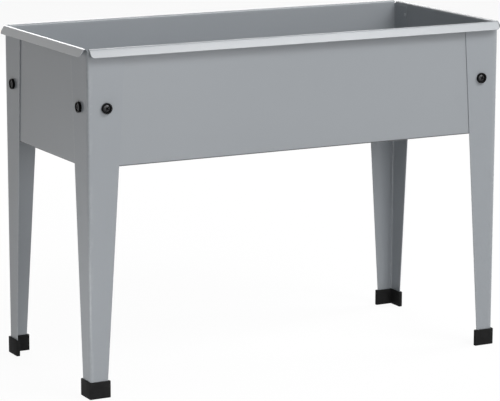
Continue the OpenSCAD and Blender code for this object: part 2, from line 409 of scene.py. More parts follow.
def rim_path():
    """Middle line of the rolled edge and lip as (outwards, up), with how far each point lies down the lip.

    The roll turns about a centre outside the panel, from straight up to the lip's slope, and the lip
    runs on from it. Points crowd towards the lip's free edge, where its corners are rounded.
    """
    turn = ROLL_R - SHEET / 2
    centre = (ROLL_R - SHEET, RIM_Z - ROLL_R)
    roll = arc(centre, turn, 180, 90 - math.degrees(LIP_SLOPE), ROLL_POINTS)
    length = lip_length()
    bend = np.linspace(0, math.pi / 2, LIP_CORNER_POINTS)
    corner = length - LIP_CORNER * (1 - np.sin(bend))
    down = np.concatenate([np.linspace(0, length - LIP_CORNER, 5)[1:-1], corner])
    lip = roll[-1] + down[:, None] * [math.cos(LIP_SLOPE), -math.sin(LIP_SLOPE)]
    return np.concatenate([roll, lip]), np.concatenate([np.zeros(len(roll)), down])


def ledge_path():
    """Middle line of the lower fold and the ledge as (outwards, up), from the wall to the ledge's edge."""
    fold = arc((-FOLD_R, UNDERSIDE_Z + FOLD_R), FOLD_R - SHEET / 2, 360, 270, FOLD_POINTS)
    ledge = np.stack([np.linspace(-FOLD_R, -LEDGE_W, 6), np.full(6, UNDERSIDE_Z + SHEET / 2)], axis=1)
    return run(fold, ledge)


def sway(u, v, turn):
    """Inward bow of a flat wall whose edges lie at u and v of -1 and 1, level there and zero.

    A window, (1 - u squared) squared times (1 - v squared) squared, times a slow ripple.
    """
    window = (1 - u**2) ** 2 * (1 - v**2) ** 2
    return window * (1 - RIPPLE + RIPPLE * np.cos(RIPPLE_ALONG * u + RIPPLE_UP * v + turn))


def rim_surface(xs, half_flat, half_lip):
    """The rolled edge and lip over the grid lines xs: its points as (along, outwards, up), and their wear.

    Towards each end the columns draw in to the lip's rounded corner. Wear shows on the crest of the roll
    and on the lip's free edge.
    """
    rim, down = rim_path()
    ends = half_lip - LIP_CORNER + np.sqrt(
        LIP_CORNER**2 - np.clip(down - lip_length() + LIP_CORNER, 0, LIP_CORNER) ** 2
    )
    rim_xs = xs[np.abs(xs) < half_lip - SLACK]
    rim_xs = np.concatenate([[-half_lip], rim_xs, [half_lip]])
    held = min(half_flat, half_lip) - LIP_STRETCH
    share = np.clip(np.abs(rim_xs) - held, 0, None) / (half_lip - held)
    reach = np.minimum(np.abs(rim_xs), held) + share * (ends[:, None] - held)
    free_edge = LIP_RUB * np.clip((down - lip_length()) / CREST_BAND + 1, 0, 1)
    crest = np.exp(-(((rim[:, 1] - RIM_Z) / CREST_BAND) ** 2)) + free_edge
    rub = np.broadcast_to(np.clip(crest, 0, 1)[:, None], reach.shape)
    return (np.sign(rim_xs) * reach, rim[:, :1], rim[:, 1:]), rub


def ledge_surface(xs, half_flat):
    """The lower fold and the ledge over the grid lines xs: points as (along, outwards, up), and the
    painted shade that darkens them.

    Towards each end the columns draw in to the ledge's mitre.
    """
    ledge = ledge_path()
    inset = np.where(ledge[:, 0] < -FOLD_R, -ledge[:, 0], 0.0)
    share = np.clip(np.abs(xs) - half_flat + MITRE_STRETCH, 0, None) / MITRE_STRETCH
    along = np.sign(xs) * (np.abs(xs) - share * inset[:, None])
    # Painted shade: the fold is darkened from where it starts to turn under, and the ledge below it
    painted_shade = np.clip((UNDERSIDE_Z + FOLD_R - ledge[:, 1:]) / PAINTED_SHADE_FADE, 0, 1)
    return (along, ledge[:, :1], ledge[:, 1:]), -UNDER_PAINTED_SHADE * painted_shade + 0 * along


def add_tabs(shape, world, tab_zs, half_flat):
    """The two tabs of a long panel, each a fold and a flat wall with a round bolt hole."""
    fold = arc((half_flat, -FOLD_R), FOLD_R - SHEET / 2, 90, 0, FOLD_POINTS)
    bolt_d = BOLT_IN - LEG_SHEET
    inwards = lines([FOLD_R, TAB_REACH], TAB_PITCH, [bolt_d])
    d, z = np.meshgrid(inwards, tab_zs)
    hole = (np.array([bolt_d, BOLT_Z]), HOLE_R, middle(tab_zs, BOLT_Z), middle(inwards, bolt_d))
    flat, faces = plane_with_holes(np.stack([d, z], -1), [hole])
    for side in (-1, 1):
        shape.grid(world(side * fold[:, 0], fold[:, 1], tab_zs[:, None]), TAB_RUB)
        shape.add(world(side * fold[-1, 0], -flat[:, 0], flat[:, 1]), faces)


def panel(half_flat, half_lip, place, bow, turn, tab):
    """One folded panel drawn flat on: along it, outwards from its outer face, and up.

    The wall is a grid with round bolt holes and a slight inward bow. The rolled edge and lip, the lower
    fold and ledge, and on a long panel the two tabs are grids that share its edge points. place turns
    (along, outwards, up) into the planter's frame.
    """
    shape = Shape()
    bolt_x = (LEG_X if tab else LEG_Y) - BOLT_IN
    last = half_lip if half_lip < half_flat else half_flat - FOLD_R
    low, high = UNDERSIDE_Z + FOLD_R, RIM_Z - ROLL_R
    tab_low, tab_high = UNDERSIDE_Z + TAB_RELIEF, RIM_Z - TAB_RELIEF
    xs = lines([-half_flat, -last, last, half_flat], PANEL_PITCH, [-bolt_x, bolt_x])
    zs = lines([low, tab_low, tab_high, high], WALL_PITCH, [BOLT_Z])

    def world(along, outwards, up):
        return place(*np.broadcast_arrays(along, outwards, up))

    def bowed(along, up):
        u, v = along / half_flat, (2 * up - low - high) / (high - low)
        return -SHEET / 2 - bow * sway(np.clip(u, -1, 1), v, turn)

    x, z = np.meshgrid(xs, zs)
    r = middle(zs, BOLT_Z)
    holes = [(np.array([s * bolt_x, BOLT_Z]), HOLE_R, r, middle(xs, s * bolt_x)) for s in (-1, 1)]
    flat, faces = plane_with_holes(np.stack([x, z], -1), holes)
    shape.add(world(flat[:, 0], bowed(flat[:, 0], flat[:, 1]), flat[:, 1]), faces)
    for points, rub in (rim_surface(xs, half_flat, half_lip), ledge_surface(xs, half_flat)):
        shape.grid(world(*points), rub)
    if tab:
        add_tabs(shape, world, zs[(zs >= tab_low - SLACK) & (zs <= tab_high + SLACK)], half_flat)
    return shape


def panels():
    """The four panels, each turned about the upright axis to its side of the trough."""
    half_tab = TAB_X - FOLD_R
    half_end = LEG_Y - LEG_BEND
    long_lip = TAB_X - LONG_LIP_GAP
    end_lip = PANEL_Y - SHEET - END_LIP_GAP
    sides = {
        "front": (half_tab, long_lip, lambda a, o, z: np.stack([a, -PANEL_Y - o, z], -1)),
        "back": (half_tab, long_lip, lambda a, o, z: np.stack([-a, PANEL_Y + o, z], -1)),
        "left": (half_end, end_lip, lambda a, o, z: np.stack([-PANEL_X - o, -a, z], -1)),
        "right": (half_end, end_lip, lambda a, o, z: np.stack([PANEL_X + o, a, z], -1)),
    }
    for turn, (name, (half_flat, half_lip, place)) in enumerate(sides.items()):
        long = name in ("front", "back")
        bow = LONG_BOW if long else END_BOW
        shape = panel(half_flat, half_lip, place, bow, RIPPLE_TURN * turn, tab=long)
        finish = FINISH["panel_paint"]
        piece = build(name + "_panel_skin", shape, finish, [name + "_panel"])
        thicken(piece, SHEET, SHEET_BREAK)


def clinches():
    """The pressed buttons on the tabs, four at each end of the trough.

    With r the distance from its axis over its radius, a button's rise over the tab is its height times
    smooth((1 - r) / fade) less a dimple, depth times smooth((dimple radius - r) / fade).
    """
    shape = Shape()
    r = np.linspace(0, 1, 25)[:, None]
    a = np.linspace(0, 2 * math.pi, 33)[:-1]
    dimple = DIMPLE_DEPTH * smooth((DIMPLE_R - r) / CLINCH_FADE)
    rise = CLINCH_RISE * (smooth((1 - r) / CLINCH_FADE) - dimple) + 0 * a
    across, up = CLINCH_R * r * np.cos(a), CLINCH_R * r * np.sin(a)
    y, face = PANEL_Y - TAB_REACH + CLINCH_EDGE, TAB_X - SHEET
    for sx in (-1, 1):
        for sy in (-1, 1):
            for z in (UNDERSIDE_Z + CLINCH_DROP, RIM_Z - CLINCH_DROP):
                top = np.stack([sx * (face - rise), sy * y + across, z + up], -1)
                back = np.stack([sx * (face + CLINCH_SINK) + 0 * rise, sy * y + across, z + up], -1)
                shape.grid(np.concatenate([top, back[::-1]]), CLINCH_RUB, close_cols=True)
    build("clinch_buttons", shape, FINISH["panel_paint"], [])


# ---------------------------------------------------------------- floor and braces


def channel_fold(edge, top, foot, along, place):
    """One turned-down side: a quarter bend from the flat at (edge - fold radius, top) and a skirt below it.

    Rows are (outwards, up) points of the bend and the skirt; columns run along the side.
    """
    centre = (edge - FOLD_R, top - FOLD_R)
    bend = arc(centre, FOLD_R - SHEET / 2, 90, 0, FOLD_POINTS)
    skirt = np.stack([np.full(4, edge - SHEET / 2), np.linspace(top - FOLD_R, foot, 4)], -1)
    path = run(bend, skirt)
    return place(*np.broadcast_arrays(along, path[:, :1], path[:, 1:]))


def floor_shape(low, high):
    """The floor: a flat sheet with two rows of drain holes, dished round each hole, and four skirts.

    The dish lowers the sheet by DRAIN_DISH times the smooth step from its radius down to the hole.
    """
    pitch = 2 * high[0] / DRAIN_COUNT
    drain_x = (np.arange(DRAIN_COUNT) + 0.5) * pitch - high[0]
    drain_y = [-DRAIN_ROWS / 2, DRAIN_ROWS / 2]
    half_x, half_y = high[0] - FOLD_R, high[1] - FOLD_R
    xs = lines([-half_x, half_x], FLOOR_PITCH, drain_x)
    ys = lines([-half_y, half_y], FLOOR_PITCH, drain_y)
    x, y = np.meshgrid(xs, ys)
    holes = [
        (np.array([cx, cy]), DRAIN_R, middle(ys, cy), middle(xs, cx)) for cy in drain_y for cx in drain_x
    ]
    flat, faces = plane_with_holes(np.stack([x, y], -1), holes)
    near_x = np.abs(flat[:, :1] - drain_x).min(axis=1)
    near_y = np.abs(flat[:, 1:] - drain_y).min(axis=1)
    dish = DRAIN_DISH * smooth((DISH_R - np.hypot(near_x, near_y)) / (DISH_R - DRAIN_R))
    top = high[2] - SHEET / 2
    shape = Shape()
    shape.add(np.stack([flat[:, 0], flat[:, 1], top - dish], -1), faces)
    for s in (-1, 1):
        shape.grid(channel_fold(high[1], high[2], low[2], xs, lambda a, o, z: np.stack([a, s * o, z], -1)))
        shape.grid(channel_fold(high[0], high[2], low[2], ys, lambda a, o, z: np.stack([s * o, a, z], -1)))
    return shape


def brace_shape(low, high):
    """A brace: a flat strip between two turned-down sides, as a channel open at the bottom."""
    middle_x, half = (low[0] + high[0]) / 2, (high[0] - low[0]) / 2
    xs = np.linspace(-(half - FOLD_R), half - FOLD_R, 5)
    ys = lines([low[1], high[1]], FLOOR_PITCH)
    x, y = np.meshgrid(middle_x + xs, ys)
    shape = Shape()
    shape.grid(np.stack([x, y, np.full_like(x, high[2] - SHEET / 2)], -1))
    for s in (-1, 1):
        shape.grid(
            channel_fold(half, high[2], low[2], ys, lambda a, o, z: np.stack([middle_x + s * o, a, z], -1))
        )
    return shape


def floor_and_braces():
    """The floor tray on the ledges, and the three braces under it."""
    shapes = {"floor": ("floor_tray", floor_shape)}
    for brace in ("left_brace", "middle_brace", "right_brace"):
        shapes[brace] = (brace + "_channel", brace_shape)
    for node_name, (name, make) in shapes.items():
        piece = build(name, make(*cad_box_mm(node_name)), FINISH["floor_paint"], [node_name])
        thicken(piece, SHEET, SHEET_BREAK)


# ---------------------------------------------------------------- legs and caps


def flange_width(z):
    """Width of a leg's flanges at height z, growing evenly from the ground to the rim."""
    return LEG_FOOT_W + (LEG_TOP_W - LEG_FOOT_W) * z / RIM_Z


def leg_shape(sx, sy):
    """Middle surface of a leg: an angle whose two flanges widen with height, with a bolt hole in each.

    Each flange is a grid of (distance from the corner, height): distance = bend + share (width(z) - bend).
    The bend is a quarter circle carried up the corner. It and the end flange's free edge are rubbed, and
    the bend's wear is also a painted highlight, a lighter line up the corner.
    """
    shape = Shape()
    zs = lines([LEG_FOOT_Z, CAP_H, UNDERSIDE_Z, LEG_TOP_Z], LEG_PITCH, [BOLT_Z])
    width = flange_width(zs)[:, None]
    hole_share = (BOLT_IN - LEG_BEND) / (flange_width(BOLT_Z) - LEG_BEND)
    block = BLOCK / (flange_width(BOLT_Z) - LEG_BEND)
    low, high = hole_share - block, hole_share + block
    before, after = np.linspace(0, low, 4)[:-1], np.linspace(high, 1, 5)[1:]
    shares = np.concatenate([before, np.linspace(low, high, 2 * BLOCK_QUADS + 1), after])
    out = LEG_BEND + shares * (width - LEG_BEND)
    hole = (np.array([BOLT_IN, BOLT_Z]), HOLE_R, middle(zs, BOLT_Z), len(before) + BLOCK_QUADS)
    flat, faces = plane_with_holes(np.stack([out, zs[:, None] + 0 * out], -1), [hole])
    edge = np.broadcast_to(np.clip((shares - 1) / EDGE_SHARE + 1, 0, 1), out.shape)
    rub = np.append(edge.reshape(-1), np.zeros(len(flat) - edge.size))
    face = LEG_SHEET / 2
    shape.add(corner_place(sx, sy, flat[:, 0], face, flat[:, 1]), faces)
    shape.add(corner_place(sx, sy, face, flat[:, 0], flat[:, 1]), faces[:, ::-1], rub)
    bend = arc((LEG_BEND, LEG_BEND), LEG_BEND - face, 270, 180, BEND_POINTS)
    # The bend's wear value also paints a lighter line up the corner as a highlight
    shape.grid(corner_place(sx, sy, bend[:, 0], bend[:, 1], zs[:, None]), CORNER_WEAR_AND_HIGHLIGHT)
    return shape


def corner_place(sx, sy, along_x, along_y, up):
    """Points measured inwards from a leg's outer corner, put at the corner on the (sx, sy) side."""
    x, y, z = np.broadcast_arrays(along_x, along_y, up)
    return np.stack([sx * (LEG_X - x), sy * (LEG_Y - y), z], -1)


def rounded_angle(arm, thick, radii, start, inset):
    """Outline of an angle section with rounded corners, drawn in by inset, as a closed ring of points.

    Six corners, each an arc: a corner that points outwards has its radius cut by inset, and the inner
    one has it widened.
    """
    corner = [(0, 0), (arm, 0), (arm, thick), (thick, thick), (thick, arm), (0, arm)]
    first = [180, 270, 0, 270, 0, 90]
    sign = [(1, 1), (-1, 1), (-1, -1), (1, 1), (-1, -1), (1, -1)]
    points = []
    for r, (x, y), a, (u, v) in zip(radii, corner, first, sign):
        centre = (start + x + u * r, start + y + v * r)
        if (x, y) == (thick, thick):
            points.append(arc(centre, r + inset, a, a - 90, CAP_CORNER_POINTS))
        else:
            points.append(arc(centre, max(r - inset, LEAST_R), a, a + 90, CAP_CORNER_POINTS))
    return np.concatenate(points)


def cap_shape(sx, sy):
    """A leg's cap: rounded angle outlines stacked from the base up, over the top edge and down the pocket.

    Rows are (inset, height) pairs, so both outer edges are quarter rounds: inset = r (1 - sin a) and
    height = r (1 - cos a) at the foot. The pocket is a second angle outline with as many points.
    """
    pocket = float(flange_width(CAP_H)) + CAP_FIT
    outer_arm = CAP_WALL + pocket + CAP_END
    outer_thick = LEG_SHEET + 2 * CAP_WALL
    arms, mouths = [CAP_ARM_R] * 2, [POCKET_R] * 2
    outer = [CAP_CORNER, *arms, CAP_INNER_R, *arms]
    inner = [LEG_BEND, *mouths, LEG_BEND - LEG_SHEET, *mouths]
    a = np.linspace(0, math.pi / 2, CAP_EDGE_POINTS)
    foot = np.stack([CAP_FOOT_R * (1 - np.sin(a)), CAP_FOOT_R * (1 - np.cos(a))], -1)
    side = [(0.0, z) for z in np.linspace(CAP_FOOT_R, CAP_H - CAP_RIM_R, 6)]
    rim = np.stack([CAP_RIM_R * (1 - np.cos(a)), CAP_H - CAP_RIM_R * (1 - np.sin(a))], -1)
    rings = []
    for inset, z in run(foot, side, rim):
        outline = rounded_angle(outer_arm, outer_thick, outer, -CAP_WALL, inset)
        rings.append(corner_place(sx, sy, *outline.T, z))
    for inset, z in ((-MOUTH_BREAK, CAP_H), (0.0, CAP_H - MOUTH_BREAK), (0.0, CAP_BASE)):
        outline = rounded_angle(pocket, LEG_SHEET, inner, 0.0, inset)
        rings.append(corner_place(sx, sy, *outline.T, z))
    rings = np.array(rings)
    shape = Shape()
    rub = CAP_RUB * np.clip((rings[..., 2] - CAP_H) / CAP_RUB_BAND + 1, 0, 1)
    shape.grid(rings, rub, close_cols=True)
    return shape


def close_ends(piece):
    """Fills the open ends of a tube of rings and points its faces outwards."""
    fill = bmesh.new()
    fill.from_mesh(piece.data)
    bmesh.ops.holes_fill(fill, edges=[e for e in fill.edges if e.is_boundary], sides=0)
    bmesh.ops.recalc_face_normals(fill, faces=fill.faces)
    fill.to_mesh(piece.data)
    fill.free()


def legs_and_caps():
    """Four legs and four caps."""
    for name, (sx, sy) in CORNERS.items():
        leg = build(name + "_leg_skin", leg_shape(sx, sy), FINISH["leg_paint"], [name + "_leg"])
        thicken(leg, LEG_SHEET, LEG_BREAK)
        cap = build(name + "_cap", cap_shape(sx, sy), FINISH["cap_plastic"], [name + "_foot"])
        close_ends(cap)


# ---------------------------------------------------------------- fasteners


def turned(profile):
    """A profile of (radius, height) carried round an axis: x = r cos a, y = r sin a, h = height."""
    a = np.linspace(0, 2 * math.pi, ROUND_SIDES + 1)[:-1]
    r, h = profile[:, :1], profile[:, 1:]
    return r * np.cos(a), r * np.sin(a), h + 0 * a


def bolt_axes(name, side):
    """Where a corner's bolt stands: the point on the leg's outer face, and the directions out and across."""
    sx, sy = CORNERS[name]
    if side == "long":
        place, out, across = (sx * (LEG_X - BOLT_IN), sy * LEG_Y, BOLT_Z), (0, sy, 0), (1, 0, 0)
    else:
        place, out, across = (sx * LEG_X, sy * (LEG_Y - BOLT_IN), BOLT_Z), (sx, 0, 0), (0, 1, 0)
    return np.array(place), np.array(out), np.array(across)


def stand(points, name, side, turn=0.0):
    """Puts a turned piece at a corner's bolt, its height pointing out of the leg, turned about its axis."""
    x, y, h = np.broadcast_arrays(*points)
    origin, out, across = bolt_axes(name, side)
    c, s = math.cos(turn), math.sin(turn)
    x, y = c * x - s * y, s * x + c * y
    up = np.array([0, 0, 1])
    return origin + x[..., None] * across + y[..., None] * up + h[..., None] * out


def bolt_shape(name, side, turn):
    """A domed bolt: sphere cap, short straight edge, flat underside and a plain shank with a chamfered tip.

    The cross recess lowers the dome by a depth that falls to nothing past each arm's width and length.
    The head's edge is rubbed, and the recess is painted darker as shade.
    """
    cap = HEAD_H - HEAD_EDGE
    ball = (HEAD_R**2 + cap**2) / (2 * cap)
    r = np.concatenate([np.linspace(0, RECESS_R, 30), np.linspace(RECESS_R, HEAD_R - DOME_INSET, 7)[1:]])
    dome = np.stack([r, WASHER_T + HEAD_H - ball + np.sqrt(ball**2 - r**2)], -1)
    edge = arc((HEAD_R - HEAD_ROUND, WASHER_T + HEAD_EDGE - HEAD_ROUND / 2), HEAD_ROUND, 60, 0, 4)
    under = [(HEAD_R, WASHER_T + HEAD_BREAK), (HEAD_R - HEAD_BREAK, WASHER_T), (BOLT_R, WASHER_T)]
    tip = WASHER_T - BOLT_L
    shank = [(BOLT_R, tip + TIP_BREAK), (BOLT_R - TIP_BREAK, tip), (0.0, tip)]
    profile = np.concatenate([dome, edge, under, shank])
    x, y, h = turned(profile)
    cross = fade(np.hypot(x, y), CORE_R, CORE_FADE)
    for p, q in ((x, y), (y, x)):
        arm = fade(abs(p), ARM_HALF_W, SIDE_FADE) * fade(abs(q), ARM_REACH, REACH_FADE)
        cross = np.maximum(cross, arm)
    row = np.arange(len(profile))[:, None]
    cross = cross * (row < len(r))
    # The recess gets a value below zero, which paints shade into it
    rub = 1.0 * (row >= len(r) - 2) * (row < len(r) + len(edge)) - RECESS_PAINTED_SHADE * cross
    shape = Shape()
    shape.grid(stand((x, y, h - CROSS_DEPTH * cross), name, side, turn), rub, close_cols=True)
    return shape


def washer_shape(name, side):
    """A cup washer: a floor under the bolt head and a rim round it, its top rounded on both sides.

    The closed profile of (radius, height) runs up the outside, over the rim, down the cup and through
    the hole, and is carried round the bolt.
    """
    hole, e, r = HOLE_R, WASHER_BREAK, WASHER_ROUND
    profile = run(
        [(hole, e), (hole + e, 0), (WASHER_R - e, 0), (WASHER_R, e)],
        np.stack([np.full(4, WASHER_R), np.linspace(e, WASHER_H - r, 4)], -1),
        arc((WASHER_R - r, WASHER_H - r), r, 0, 90, 6),
        arc((CUP_R + r, WASHER_H - r), r, 90, 180, 6),
        arc((CUP_R - CUP_ROUND, WASHER_T + CUP_ROUND), CUP_ROUND, 0, -90, 4),
        [(hole + e, WASHER_T), (hole, WASHER_T - e)],
    )
    shape = Shape()
    crest_r = (WASHER_R + CUP_R) / 2 + CREST_PAST
    crest = (profile[:, 1] > WASHER_T + CUP_ROUND) & (profile[:, 0] < crest_r)
    rub = crest[:, None] * np.ones(ROUND_SIDES)
    shape.grid(stand(turned(profile), name, side), rub, close_rows=True, close_cols=True)
    return shape


def nut_shape(name, side, turn):
    """A flanged hexagon nut: radius = min(hexagon, chamfer cone) over a round flange, with a plain bore.

    The hexagon's radius in direction a is half the width across flats over cos of the angle to its flat.
    Rows are (radius, height above the sheets' inner face, below zero inwards): bore, flange, then hexagon.
    """
    a = np.linspace(0, 2 * math.pi, NUT_SIDES + 1)[:-1]
    hexagon = NUT_HALF_FLATS / np.cos((a + math.pi / 6) % (math.pi / 3) - math.pi / 6)
    grip = -(LEG_SHEET + SHEET) if side == "long" else -(LEG_SHEET + 2 * SHEET)
    bore = BOLT_R + BORE_FIT
    rows = [
        (bore, -BORE_END),
        (bore, -BORE_BREAK),
        (bore + BORE_BREAK, 0.0),
        (NUT_FLANGE_R - NUT_BREAK, 0.0),
        (NUT_FLANGE_R, -NUT_BREAK),
        (NUT_FLANGE_R, -NUT_EDGE_H),
        (NUT_FLANGE_R - NUT_SHOULDER[0], -NUT_SHOULDER[1]),
        (hexagon + NUT_HEX_FOOT[0], -NUT_HEX_FOOT[1]),
        (hexagon, -NUT_HEX_LOW),
        (hexagon, -NUT_HEX_HIGH),
        *((np.minimum(hexagon, radius), -height) for radius, height in NUT_CONE),
        (bore + BORE_BREAK, -NUT_H),
    ]
    r = np.array([row[0] + 0 * a for row in rows])
    h = np.array([row[1] for row in rows])[:, None] + grip + 0 * a
    shape = Shape()
    rub = np.isin(np.arange(len(rows)), NUT_WORN_ROWS)[:, None] + 0.0 * h
    points = stand((r * np.cos(a), r * np.sin(a), h), name, side, turn)
    shape.grid(points, rub, close_rows=True, close_cols=True)
    return shape


def fasteners():
    """Two bolts, washers and nuts at each corner, each bolt and nut stopped at its own turn."""
    spots = [(name, side) for name in CORNERS for side in ("long", "end")]
    turns = np.random.default_rng(TURN_SEED).uniform(0, math.pi / 2, (2, len(spots)))
    for (name, side), bolt_turn, nut_turn in zip(spots, *turns):
        base = name + "_" + side
        bolt = bolt_shape(name, side, bolt_turn)
        build(base + "_bolt_skin", bolt, FINISH["bolt_black"], [base + "_bolt"], BOLT_SHARP)
        washer = washer_shape(name, side)
        build(base + "_washer_skin", washer, FINISH["washer_black"], [base + "_washer"])
        nut = nut_shape(name, side, nut_turn)
        build(base + "_nut_skin", nut, FINISH["zinc_plate"], [base + "_nut"], NUT_SHARP)


# ---------------------------------------------------------------- finishes


# Noise patches of the finishes, in metres: fine tone, swell under the grain, roughness, chips and dust
FINE_PATCH = 0.004
SWELL_PATCH = 0.012
ROUGH_PATCH = 0.05
CHIP_PATCH = 0.009
DUST_PATCH = 0.03
# The band of noise values that is spread over a range
NOISE_LOW = 0.3
NOISE_HIGH = 0.7
# Share of the fine tone in the colour drift, and of the swell in the skin's height
FINE_SHARE = 0.35
SWELL_SHARE = 0.6
# How far up a face has to look for dust to start lying on it
DUST_START = 0.3
DUST_COLOR = (0.55, 0.54, 0.51, 1)
# Numbers of a mix node's two colour inputs and of its colour output
MIX_FIRST = 6
MIX_SECOND = 7
MIX_RESULT = 2
GREY = (0.5, 0.5, 0.5, 1)


def set_inputs(tree, made, inputs):
    """Links every input that is given a socket, and sets the others to their values."""
    for key, value in inputs.items():
        if isinstance(value, bpy.types.NodeSocket):
            tree.links.new(value, made.inputs[key])
        else:
            made.inputs[key].default_value = value
    return made


def node(tree, kind, inputs=None, **settings):
    """Adds a shader node with its settings and inputs."""
    made = tree.nodes.new(kind)
    for key, value in settings.items():
        setattr(made, key, value)
    return set_inputs(tree, made, inputs or {})


def calc(tree, operation, *values, clamp=False):
    """A maths node's result, from values or sockets."""
    made = node(tree, "ShaderNodeMath", dict(enumerate(values)), operation=operation, use_clamp=clamp)
    return made.outputs[0]


def scaled(tree, color, factor):
    """A colour times a factor."""
    return node(tree, "ShaderNodeVectorMath", {0: color, "Scale": factor}, operation="SCALE").outputs[0]


def blended(tree, factor, first, second):
    """The first colour where factor is 0, and the second where it is 1."""
    inputs = {0: factor, MIX_FIRST: first, MIX_SECOND: second}
    return node(tree, "ShaderNodeMix", inputs, data_type="RGBA").outputs[MIX_RESULT]


def group(name, inputs, outputs):
    """A shader node group with named sockets, as its tree, its input sockets and its output node."""
    tree = bpy.data.node_groups.new(name, "ShaderNodeTree")
    for label, kind, value in inputs:
        socket = tree.interface.new_socket(name=label, in_out="INPUT", socket_type="NodeSocket" + kind)
        socket.default_value = value
    for label, kind in outputs:
        tree.interface.new_socket(name=label, in_out="OUTPUT", socket_type="NodeSocket" + kind)
    return tree, tree.nodes.new("NodeGroupInput").outputs, tree.nodes.new("NodeGroupOutput")


def noise_at(tree, size, detail=2.0, roughness=0.5):
    """Noise on object coordinates, its patches about size metres across."""
    where = node(tree, "ShaderNodeTexCoord").outputs["Object"]
    scale = calc(tree, "DIVIDE", 1.0, size) if isinstance(size, bpy.types.NodeSocket) else 1.0 / size
    inputs = {"Vector": where, "Scale": scale, "Detail": detail, "Roughness": roughness}
    return node(tree, "ShaderNodeTexNoise", inputs).outputs["Fac"]


def spread(tree, value, low, high):
    """Maps noise about one half onto low..high, held at both ends."""
    inputs = {
        "Value": value,
        "From Min": NOISE_LOW,
        "From Max": NOISE_HIGH,
        "To Min": low,
        "To Max": high,
    }
    return node(tree, "ShaderNodeMapRange", inputs).outputs["Result"]


def make_tone_drift():
    """Colour drift: the colour times 1 + amount (broad noise + fine noise), both about zero."""
    tree, given, out = group(
        "tone drift",
        [("Color", "Color", GREY), ("Amount", "Float", 0.03), ("Patch", "Float", 0.2)],
        [("Color", "Color")],
    )
    broad = spread(tree, noise_at(tree, given["Patch"], detail=3.0), -1.0, 1.0)
    fine = spread(tree, noise_at(tree, FINE_PATCH, detail=3.0), -FINE_SHARE, FINE_SHARE)
    factor = calc(tree, "MULTIPLY_ADD", calc(tree, "ADD", broad, fine), given["Amount"], 1.0)
    tree.links.new(scaled(tree, given["Color"], factor), out.inputs["Color"])
    return tree


def make_skin():
    """Surface texture: fine cells over a slower swell as a bump, and a roughness that drifts."""
    tree, given, out = group(
        "coat skin",
        [
            ("Grain", "Float", 0.0012),
            ("Depth", "Float", 0.00002),
            ("Roughness", "Float", 0.5),
            ("Drift", "Float", 0.05),
        ],
        [("Normal", "Vector"), ("Roughness", "Float")],
    )
    cells = noise_at(tree, given["Grain"], roughness=0.6)
    swell = noise_at(tree, SWELL_PATCH, detail=1.0)
    height = calc(tree, "MULTIPLY_ADD", swell, SWELL_SHARE, cells)
    bump = node(tree, "ShaderNodeBump", {"Strength": 1.0, "Distance": given["Depth"], "Height": height})
    tree.links.new(bump.outputs["Normal"], out.inputs["Normal"])
    drift = spread(tree, noise_at(tree, ROUGH_PATCH, detail=4.0), -1.0, 1.0)
    rough = calc(tree, "MULTIPLY_ADD", drift, given["Drift"], given["Roughness"])
    tree.links.new(rough, out.inputs["Roughness"])
    return tree


def make_rubbed_edge():
    """Edge wear and painted light: where the value and a broken noise are both high, the colour turns
    to the worn one, which on a leg's bend also stands for a painted highlight.

    A value below zero is painted shade, in a bolt's cross recess and on a panel's lower fold and
    ledge, and darkens the colour by one plus the value.
    """
    tree, given, out = group(
        "rubbed edge",
        [("Color", "Color", GREY), ("Worn", "Color", (0.7, 0.7, 0.7, 1)), ("Amount", "Float", 0.3)],
        [("Color", "Color")],
    )
    rub = node(tree, "ShaderNodeAttribute", attribute_name="rub").outputs["Fac"]
    broken = spread(tree, noise_at(tree, CHIP_PATCH, detail=5.0, roughness=0.7), 0.0, 1.0)
    mask = calc(tree, "MULTIPLY", calc(tree, "MULTIPLY", rub, broken), given["Amount"], clamp=True)
    shaded = scaled(tree, given["Color"], calc(tree, "ADD", rub, 1.0, clamp=True))
    tree.links.new(blended(tree, mask, shaded, given["Worn"]), out.inputs["Color"])
    return tree


def make_dust():
    """Dust: a faint pale film on faces that look up, broken by noise."""
    tree, given, out = group(
        "settled dust", [("Color", "Color", GREY), ("Amount", "Float", 0.1)], [("Color", "Color")]
    )
    normal = node(tree, "ShaderNodeNewGeometry").outputs["Normal"]
    up = node(tree, "ShaderNodeSeparateXYZ", {0: normal}).outputs["Z"]
    facing = node(tree, "ShaderNodeMapRange", {"Value": up, "From Min": DUST_START, "From Max": 1.0})
    broken = spread(tree, noise_at(tree, DUST_PATCH, detail=5.0, roughness=0.65), 0.2, 1.0)
    film = calc(tree, "MULTIPLY", facing.outputs["Result"], broken)
    mask = calc(tree, "MULTIPLY", film, given["Amount"], clamp=True)
    tree.links.new(blended(tree, mask, given["Color"], DUST_COLOR), out.inputs["Color"])
    return tree


GROUPS = {"tone": make_tone_drift(), "skin": make_skin(), "rub": make_rubbed_edge(), "dust": make_dust()}


